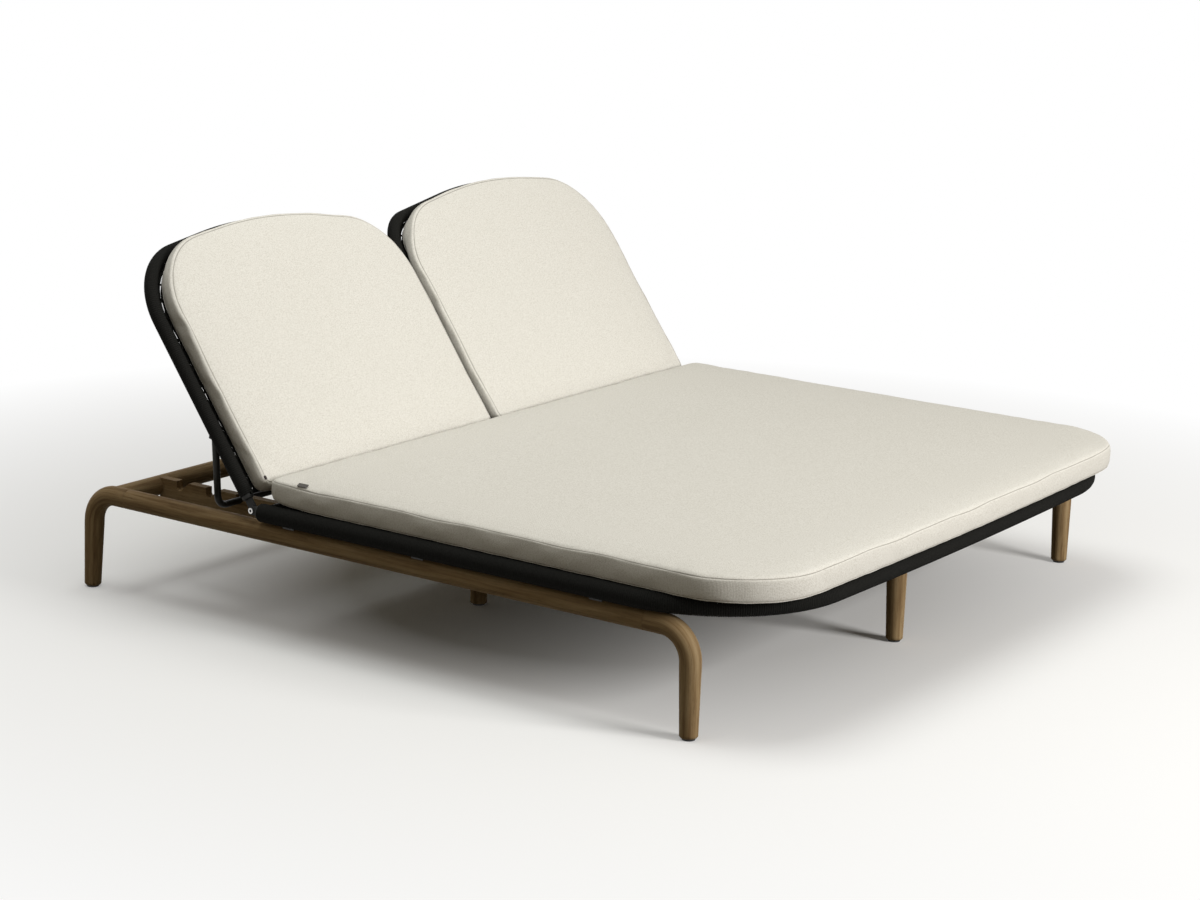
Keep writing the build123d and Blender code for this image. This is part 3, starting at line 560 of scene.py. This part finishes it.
def webbing(name, colour):
    """A flat woven tape: fine ribs across it and a speckle of paler yarn."""
    mat, tree, shader = material(name, 0.85)
    place = place_of(tree, "object")
    speck = noise(tree, place, 900.0, 2.0, 0.6)
    pale = tuple(v * 1.6 for v in colour)
    tree.links.new(ramp(tree, speck, [(0.4, colour), (0.62, pale)]), shader.inputs["Base Color"])
    shader.inputs["Specular IOR Level"].default_value = 0.15
    ribs = add(tree, "TexWave", {"Vector": place, "Scale": 260.0}, bands_direction="Y").outputs["Fac"]
    bump(tree, shader, calc(tree, "ADD", ribs, speck), 0.2 * MM, 0.6)
    return mat


def teak(name, source, along=2):
    """Oiled teak: fine growth rings and long pores that run with the grain, in slow darker patches."""
    mat, tree, shader = material(name, 0.6)

    def drawn_out(across, grain):
        """Coordinates for a pattern that is drawn out along the grain."""
        return place_of(tree, source, tuple(grain if k == along else across for k in range(3)))

    rings = noise(tree, drawn_out(1.0, 0.05), 95.0, 4.0, 0.6)
    pores = noise(tree, drawn_out(3.2, 0.12), 190.0, 2.0, 0.7)
    patch = noise(tree, drawn_out(1.0, 0.35), 9.0, 3.0, 0.55)
    colour = ramp(tree, rings, [(0.34, (0.200, 0.122, 0.056)), (0.50, (0.335, 0.226, 0.114)),
                                (0.66, (0.450, 0.325, 0.180))])
    colour = blend(tree, calc(tree, "MULTIPLY", patch, 0.55), colour, (0.160, 0.110, 0.056))
    dark = calc(tree, "GREATER_THAN", pores, 0.60)
    colour = blend(tree, calc(tree, "MULTIPLY", dark, 0.34), colour, (0.080, 0.052, 0.026))
    tree.links.new(colour, shader.inputs["Base Color"])
    tree.links.new(calc(tree, "ADD", 0.46, calc(tree, "MULTIPLY", pores, 0.26)), shader.inputs["Roughness"])
    shader.inputs["Specular IOR Level"].default_value = 0.07
    bump(tree, shader, calc(tree, "ADD", pores, rings), 0.2 * MM, 0.5)
    return mat


def coated(name, colour, roughness=0.42):
    """Powder coated metal: fine orange peel and faint rub marks."""
    mat, tree, shader = material(name, roughness)
    place = place_of(tree, "object")
    peel = noise(tree, place, 900.0, 2.0, 0.5)
    rub = noise(tree, place, 38.0, 3.0, 0.6)
    pale = tuple(min(1.0, v * 1.7 + 0.006) for v in colour)
    tree.links.new(ramp(tree, rub, [(0.38, colour), (0.72, pale)]), shader.inputs["Base Color"])
    tree.links.new(calc(tree, "ADD", roughness - 0.08, calc(tree, "MULTIPLY", rub, 0.2)),
                   shader.inputs["Roughness"])
    shader.inputs["Specular IOR Level"].default_value = 0.2
    bump(tree, shader, peel, 0.08 * MM, 0.5)
    return mat


def steel():
    """Brushed steel: streaks along one way and a few dull spots."""
    mat, tree, shader = material("brushed steel", 0.3, 1.0)
    streak = noise(tree, place_of(tree, "object", (60.0, 2400.0, 2400.0)), 1.0, 2.0, 0.6)
    tree.links.new(ramp(tree, streak, [(0.3, (0.50, 0.50, 0.49)), (0.7, (0.72, 0.71, 0.69))]),
                   shader.inputs["Base Color"])
    tree.links.new(calc(tree, "ADD", 0.22, calc(tree, "MULTIPLY", streak, 0.2)), shader.inputs["Roughness"])
    bump(tree, shader, streak, 0.03 * MM, 0.5)
    return mat


def moulded(name, colour):
    """Dull moulded plastic or rubber: fine grain and scuffs."""
    mat, tree, shader = material(name, 0.6)
    place = place_of(tree, "object")
    scuff = noise(tree, place, 120.0, 3.0, 0.6)
    pale = tuple(v * 1.8 + 0.01 for v in colour)
    tree.links.new(ramp(tree, scuff, [(0.45, colour), (0.8, pale)]), shader.inputs["Base Color"])
    bump(tree, shader, noise(tree, place, 1500.0, 2.0, 0.5), 0.06 * MM, 0.5)
    return mat


cloth = cushion_cloth()
cord = rope()
tab_cloth = webbing("tab webbing", (0.105, 0.100, 0.095))
zip_metal = coated("zip end", (0.035, 0.026, 0.026), 0.5)
wood = teak("teak round stock", "grain")
board_wood = teak("teak board", "object", along=1)
dowel_wood = teak("teak dowel", "object", along=0)
frame_coat = coated("frame coat", (0.018, 0.018, 0.017))
prop_coat = coated("prop coat", (0.022, 0.022, 0.020), 0.38)
lug_coat = coated("lug metal", (0.012, 0.012, 0.011), 0.5)
bolt_steel = steel()
glide_plastic = moulded("glide plastic", (0.018, 0.018, 0.018))
pad_rubber = moulded("pad rubber", (0.020, 0.020, 0.020))


# Teak base

def chamfered(length, start, end):
    """Radii of a bar from one end to the other, eased by a small chamfer at both."""
    return [(0.0, start - soft), (soft, start), (length - soft, end), (length, end - soft)]


def straight(name, a, b, start, end, normal, node):
    """A straight turned bar that stands for a CAD node, from one radius to the other."""
    line = np.array([a, b], float)
    obj = bar(name, line, chamfered(reach(line)[-1], start, end), normal, wood)
    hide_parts(node)
    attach(obj, "base")


def corner_leg(name, x, y, splay, inward, seam_y, node):
    """The end of a rail, its elbow and its leg in one piece, tapered to the floor."""
    lean = np.tan(np.radians(splay))
    line = route([(x, seam_y, rail_z), (x, y + inward * rail_z * lean, rail_z),
                  (x, y + inward * glide_high * lean, glide_high)], [elbow_bend])
    length = reach(line)[-1]
    radii = [(0.0, rail_r - soft), (soft, rail_r), (length - taper_long, rail_r), (length - toe_long, knee_r),
             (length, toe_r)]
    obj = bar(name, line, radii, X_WAY, wood)
    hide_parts(node)
    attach(obj, "base")


for label, x in (("left", -rail_x), ("centre", 0.0), ("right", rail_x)):
    straight(label + "_teak_rail", (x, foot_seam_y, rail_z), (x, head_seam_y, rail_z), rail_r, rail_r, X_WAY,
             label + "_rail")
    corner_leg(label + "_teak_foot_leg", x, foot_leg_y, foot_splay, 1, foot_seam_y, label + "_foot_leg")
    corner_leg(label + "_teak_head_leg", x, head_leg_y, head_splay, -1, head_seam_y, label + "_head_leg")
for label, side in SIDES:
    for which, y, r in cross_beams:
        straight(f"{label}_teak_{which}_beam", (0, y, rail_z), (side * rail_x, y, rail_z), r, r, Z_WAY,
                 f"{label}_{which}_beam")
    x = side * rail_x * mid_leg_share
    straight(label + "_teak_mid_leg", (x, mid_leg_y, glide_high), (x, mid_leg_y, rail_z - mid_leg_in),
             mid_leg_low_r, mid_leg_top_r, X_WAY, label + "_mid_leg")


# Seat

def bed_corners(x, foot, rear):
    """The corners of an outline of the bed, half as wide as x, with the point of its bowed foot end."""
    return [(-x, rear), (-x, foot), (0, foot - foot_bow), (x, foot), (x, rear)]


def seat_line(rear):
    """The middle of the seat tube from one head end round the foot to the other."""
    return route(np.column_stack([bed_corners(tube_x, tube_foot_y, rear), np.full(5, tube_z)]),
                 [foot_bend, bow(tube_x, foot_bow, 0.5), foot_bend])


def seat_place(p):
    """The seat cushion on its net. Its lower edge rises at the rear: by 22 mm times a falling exponential
    of the distance from the rear edge and the share of the height that is left above a point."""
    most, fall = 0.022, 0.040
    rise = most * np.exp(-(rear_y - p[:, 1]) / fall) * (1 - p[:, 2] / seat_high)
    return p + np.stack([0 * rise, 0 * rise, rise + seat_low], -1)


def patch(name, middle, across, up, wide, tall, thick, finish, body):
    """A thin slab with rounded corners and eased edges, lying on a plane given by two directions."""
    a, b = wide / 2, tall / 2
    edge = route([(-a, -b), (a, -b), (a, b), (-a, b)], [tall / 5] * 4, closed=True)
    across, up = (np.array(v) / np.linalg.norm(v) for v in (across, up))
    out = np.cross(across, up)
    ease = thick / 4
    rings = [edge * (1 - shrink / b) @ np.array([across, up]) + high * out
             for shrink, high in ((ease, 0.0), (0.0, ease), (0.0, thick - ease), (ease, thick))]
    n = len(edge)
    caps = np.array([np.arange(n)[::-1], 3 * n + np.arange(n)])
    obj = build(name, np.concatenate(rings) + np.array(middle), [lattice(4, n), caps], finish, smooth=False)
    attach(obj, body)


seat_winding = wound("seat_rope_winding", seat_line(seat_winding_rear), seat_winding_r, seat_groove, Z_WAY,
                     cord)
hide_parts("seat_wrap")
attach(seat_winding, "base")

room = route(bed_corners(tube_x, tube_foot_y, seat_net_rear),
             [0.015, foot_bend, bow(tube_x, foot_bow, 0.5), foot_bend, 0.015], closed=True)
rim = seat_line(seat_net_rear)[:, :2]
seat_strands = strands("seat_rope_net", room, seat_net_gap, seat_net_low, seat_net_high, lambda p: p, cord,
                       [(beside(rim, 0.027), 4.5 * MM, 0.3140), (beside(rim, 0.037), 4.0 * MM, 0.3144)])
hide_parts("seat_net")
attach(seat_strands, "base")

# Rows of (moved in, height, seam), in mm: the rolled bottom, the side between the seams, the rolled top.
seat_profile = [
    (16, 0.0, 0), (11, 0.1, 0), (6, 0.4, 0), (3.2, 1.0, 0), (1.6, 2.4, 0), (1.3, 3.6, 0), (2.6, 4.8, 1),
    (0.9, 6.2, 0), (0.2, 9.5, 0), (-0.8, 16.0, 0), (-1.3, 27.0, 0), (-1.1, 38.0, 0), (-0.3, 46.5, 0),
    (0.7, 51.0, 0), (1.5, 52.6, 0), (4.2, 54.0, 1), (3.6, 55.5, 0), (5.4, 57.2, 0), (9.0, 59.0, 0),
    (12.5, 59.9, 0), (16.0, 60.5, 0)]
seat_profile = [(a * MM, b * MM, c) for a, b, c in seat_profile]
tab_x, tab_y = -0.9318, 0.293
corners = bed_corners(side_x, foot_y, rear_y)
seat_cushion = cushion(
    "seat_cushion_cover", corners,
    [rear_bend, foot_corner_bend, bow(side_x, foot_bow, 0.5), foot_corner_bend, rear_bend],
    corners[:2] + corners[3:], seat_profile, None, (tab_x, tab_y), 4.0 * MM, seat_place, cloth, 61)
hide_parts("seat_cushion")
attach(seat_cushion, "base")

# The grey tab lies on the rolled edge above the near seam of the seat.
patch("seat_cushion_tab", (tab_x, tab_y, 0.3822), (0, -1, 0), (0.905, 0, 0.424), 0.030, 0.012, 1.4 * MM,
      tab_cloth, "base")


# Backs

def back_line(start):
    """The middle of a back tube in the plane of the back, up one side, over the top and down the other."""
    half, rise = (tube_x - back_inner_x) / 2, back_crown - (back_outer_corner + back_inner_corner) / 2
    return route([(tube_x, start), (tube_x, back_outer_corner), (tube_x - half, back_crown),
                  (back_inner_x - back_inner_lean, back_inner_corner), (back_inner_x, start)],
                 [back_outer_bend, bow(half, rise, back_crown_share), back_inner_bend])


def clear_of_tube(points, deep):
    """How far points of a back cushion move to clear the rope-wound tube: what each lacks of its distance
    inside the tube's middle line, eased over 4 mm, along that line's own inward direction."""
    clearance, ease = 0.0184, 4 * MM
    loop = back_line(-0.100)
    s = np.linspace(0, reach(loop)[-1], 1000)
    middle, way = at(loop, s), heading(loop, s)
    into = np.stack([-way[:, 1], way[:, 0]], -1)
    near = np.linalg.norm(points[:, None] - middle[None], axis=-1).argmin(1)
    lack = clearance + deep - np.einsum("ij,ij->i", points - middle[near], into[near])
    return into[near] * ((lack + np.hypot(lack, ease)) / 2)[:, None]


back_profile = [
    (16, 7.1, 0), (10, 7.2, 0), (6, 7.6, 0), (3, 8.6, 0), (1.6, 10.2, 0), (1.4, 11.4, 0), (2.7, 12.5, 1),
    (0.9, 13.7, 0), (0.4, 18.0, 0), (0.0, 24.0, 0), (-0.4, 31.0, 0), (-0.2, 39.0, 0), (0.3, 44.5, 0),
    (1.2, 47.6, 0), (2.4, 49.0, 0), (4.6, 50.2, 0), (6.8, 50.6, 0), (8.6, 50.3, 1), (10.2, 51.0, 0),
    (12.5, 51.6, 0), (16.0, 52.1, 0)]
back_profile = [(a * MM, b * MM, c) for a, b, c in back_profile]
pad_low, pad_low_bend = 0.032, 0.026
pad_outer, pad_outer_top, pad_outer_bend = 0.921, 0.686, 0.208
pad_inner, pad_inner_top, pad_inner_bend = 0.012, 0.666, 0.200
pad_crown, pad_peak = 0.744, (pad_outer + pad_inner) / 2 - 0.008
pad_bow = bow((pad_outer - pad_inner) / 2, pad_crown - (pad_outer_top + pad_inner_top) / 2, 0.42)
zip_x, zip_y, zip_z = 0.9125, 0.056, 0.0503
corners = [(pad_inner, pad_low), (pad_outer, pad_low), (pad_outer, pad_outer_top), (pad_peak, pad_crown),
           (pad_inner, pad_inner_top)]

for label, side in SIDES:
    body = label + "_back"
    place = on_back(side)
    pad = cushion(
        label + "_back_cushion_cover", corners,
        [pad_low_bend, pad_low_bend, pad_outer_bend, pad_bow, pad_inner_bend],
        corners[:3] + corners[4:], back_profile, clear_of_tube, (zip_x, zip_y), 3.9 * MM, place, cloth, 47)
    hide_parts(label + "_back_cushion")
    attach(pad, body)

    wound_line, tube_line = (place(np.column_stack([flat, np.zeros(len(flat))]))
                             for flat in (back_line(back_winding_start), back_line(back_tube_start)))
    out = place(np.array([[0, 0, 1.0]]))[0] - place(np.array([[0, 0, 0.0]]))[0]
    winding = wound(label + "_back_rope_winding", wound_line, back_winding_r, back_groove, out, cord)
    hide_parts(label + "_back_wrap")
    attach(winding, body)

    tube = bar(label + "_back_bent_tube", tube_line,
               chamfered(reach(tube_line)[-1], back_tube_r, back_tube_r), out, frame_coat, 24)
    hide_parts(label + "_back_frame")
    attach(tube, body)

    if label == "left":
        patch("left_back_zip_end", place(np.array([[zip_x, zip_y, zip_z]]))[0], (1, 0, 0),
              (0, np.cos(recline), np.sin(recline)), 0.006, 0.010, 3.0 * MM, zip_metal, body)

    rim = back_line(back_net_start)
    foot = np.array([(tube_x - back_net_in, back_net_start), (back_inner_x + back_net_in, back_net_start)])
    net = strands(label + "_back_rope_net", rim, back_net_gap, back_net_low, back_net_high, place, cord,
                  [(beside(rim, 0.0219), 4.8 * MM, -1.0 * MM),
                   (beside(rim, 0.0332, 1.8 * MM), 4.3 * MM, 0.3 * MM),
                   (beside(foot, 0.0), 5.5 * MM, -1.4 * MM)])
    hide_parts(label + "_back_net")
    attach(net, body)


# Painted shade: dark discs set in the socket heads of the four hinge pins, where the hollows lie in shade.
socket_r, socket_long = 3.2 * MM, 1.2 * MM
for label, side in SIDES:
    for which, face in (("outer", 0.9567), ("inner", 0.0377)):
        line = np.array([(side * (face - deep), hinge_y, hinge_z) for deep in (2.2 * MM, 1.0 * MM)])
        socket_shade = bar(f"{label}_{which}_socket_floor", line, [(0.0, socket_r), (socket_long, socket_r)], Z_WAY,
                   frame_coat, 24)
        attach(socket_shade, "base")


# CAD pieces that stay

finish_of = {
    "teak_dowels": dowel_wood, "leg_glides": glide_plastic, "frame_pads": pad_rubber,
    "frame_bolts": bolt_steel, "hinge_pins": bolt_steel,
    "outer_hinge_lugs": lug_coat, "inner_hinge_plates": lug_coat,
    "seat_frame": frame_coat, "seat_rear_tube": frame_coat, "seat_spine": frame_coat}
for label in ("left", "right"):
    finish_of.update({
        label + "_outer_board": board_wood, label + "_inner_board": board_wood,
        label + "_back_cross": frame_coat, label + "_back_lugs": lug_coat,
        label + "_prop_pins": bolt_steel, label + "_prop_bar": prop_coat})
for node, finish in finish_of.items():
    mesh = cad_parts[node].data
    mesh.materials.clear()
    mesh.materials.append(finish)


# Studio

def seen_by_view(tree):
    """1 for the rays that show the background (camera, glossy, transmission), and 0 for all others."""
    rays = add(tree, "LightPath").outputs
    mirrored = calc(tree, "MAXIMUM", rays["Is Glossy Ray"], rays["Is Transmission Ray"])
    return calc(tree, "MAXIMUM", rays["Is Camera Ray"], mirrored)


def studio():
    """A pale floor that fades to white far off, a key lamp beyond the foot end, a wide lamp overhead and a
    warm world. Only the view sees the floor and the world as pale: in the object's light they are dull."""
    mesh = bpy.data.meshes.new("floor")
    mesh.from_pydata([(-40, -40, 0), (40, -40, 0), (40, 40, 0), (-40, 40, 0)], [], [(0, 1, 2, 3)])
    floor = bpy.data.objects.new("floor", mesh)
    bpy.context.scene.collection.objects.link(floor)
    mat, tree, shader = material("floor", 0.95)
    shader.inputs["Base Color"].default_value = (0.93, 0.93, 0.93, 1)
    shader.inputs["Specular IOR Level"].default_value = 0.0
    place = add(tree, "TexCoord").outputs["Object"]
    far = add(tree, "VectorMath", {0: place}, operation="LENGTH").outputs["Value"]
    far = add(tree, "MapRange", {"Value": far, "From Min": 0.70, "From Max": 2.94}).outputs["Result"]
    seen = seen_by_view(tree)
    white = add(tree, "Emission", {"Color": (1, 1, 1, 1), "Strength": 1.0})
    dull = add(tree, "BsdfDiffuse", {"Color": (0.11, 0.10, 0.083, 1)})
    near = add(tree, "MixShader", {0: seen, 1: dull.outputs[0], 2: shader.outputs[0]})
    mix = add(tree, "MixShader", {0: calc(tree, "MULTIPLY", far, seen), 1: near.outputs[0],
                                  2: white.outputs[0]})
    tree.links.new(mix.outputs[0], tree.nodes["Material Output"].inputs["Surface"])
    mesh.materials.append(mat)

    world = bpy.data.worlds.new("studio")
    bpy.context.scene.world = world
    world.use_nodes = True
    tree = world.node_tree
    light = tree.nodes["Background"]
    light.inputs["Color"].default_value = (1.0, 0.91, 0.74, 1)
    light.inputs["Strength"].default_value = 0.20
    white = add(tree, "Background", {"Color": (1, 1, 1, 1), "Strength": 1.0})
    mix = add(tree, "MixShader", {0: seen_by_view(tree), 1: light.outputs[0], 2: white.outputs[0]})
    tree.links.new(mix.outputs[0], tree.nodes["World Output"].inputs["Surface"])

    lamps = (("key", (0.4, -6.3, 2.6), 2.2, 345.0, (1.0, 0.985, 0.96)),
             ("top", (-0.8, 0.4, 5.0), 3.0, 118.0, (0.98, 1.0, 0.98)))
    for name, spot, size, power, colour in lamps:
        lamp = bpy.data.lights.new(name, "AREA")
        lamp.size = size
        lamp.energy = power
        lamp.color = colour
        obj = bpy.data.objects.new(name, lamp)
        bpy.context.scene.collection.objects.link(obj)
        obj.location = spot
        aim = np.array([0.0, 0.0, 0.3]) - np.array(spot)
        obj.rotation_euler = (np.arccos(-aim[2] / np.linalg.norm(aim)), 0.0, np.arctan2(-aim[0], aim[1]))


def photo_camera():
    """The camera where the photograph was taken from: its place, and its right, up and back directions."""
    lens = bpy.data.cameras.new("photo")
    lens.lens = 82.21
    lens.sensor_width = 36.0
    lens.clip_end = 200.0
    camera = bpy.data.objects.new("photo", lens)
    bpy.context.scene.collection.objects.link(camera)
    turn = np.eye(4)
    turn[:3, 0] = (0.56868, -0.82195, 0.03153)
    turn[:3, 1] = (0.17601, 0.15904, 0.97146)
    turn[:3, 2] = (-0.80351, -0.54690, 0.23511)
    turn[:3, 3] = (-5.7233, -3.8140, 2.0096)
    camera.matrix_world = Matrix(turn.tolist())
    bpy.context.scene.camera = camera


studio()
photo_camera()
bpy.context.scene.view_settings.view_transform = "Standard"
